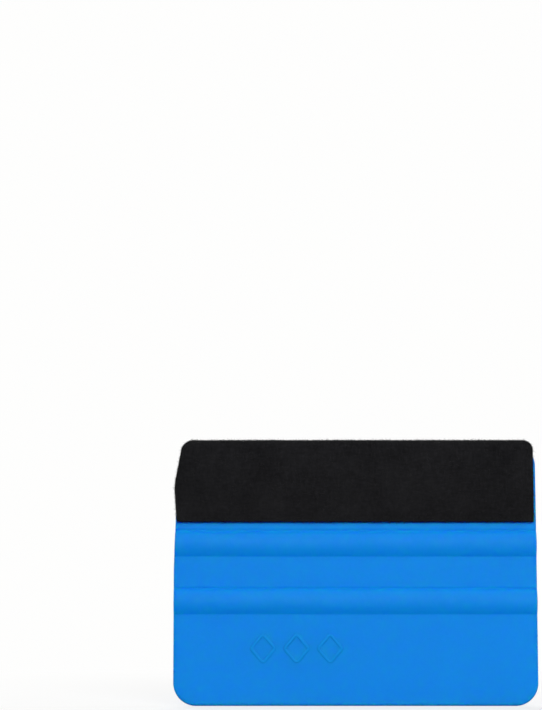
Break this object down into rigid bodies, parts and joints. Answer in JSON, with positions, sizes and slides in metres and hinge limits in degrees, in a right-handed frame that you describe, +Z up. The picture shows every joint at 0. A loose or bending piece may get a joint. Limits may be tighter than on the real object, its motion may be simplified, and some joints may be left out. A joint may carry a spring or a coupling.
{
  "type": "squeegee applicator",
  "caption": "Flat hand card with rounded grip ridges across both faces and a soft felt strip folded over its thin working edge, for smoothing adhesive vinyl film.",
  "frame": {"origin": "middle of the handle edge that the card stands on, on the plane of that edge", "axes": "+X along the card's width, to the right seen from the front; -Y is the front face's outward side; +Z runs up from the handle edge to the felted working edge"},
  "size_m": [0.1, 0.0056, 0.0728],
  "materials": {
    "card_plastic": "satin moulded polypropylene, solid blue, finely matt",
    "adhesive": "thin translucent double-sided adhesive film",
    "felt": "dense black needled felt with a short nap"
  },
  "bodies": {
    "root": {"card_body": "card_plastic", "adhesive_film": "adhesive", "felt_strip": "felt"}
  },
  "joints": []
}
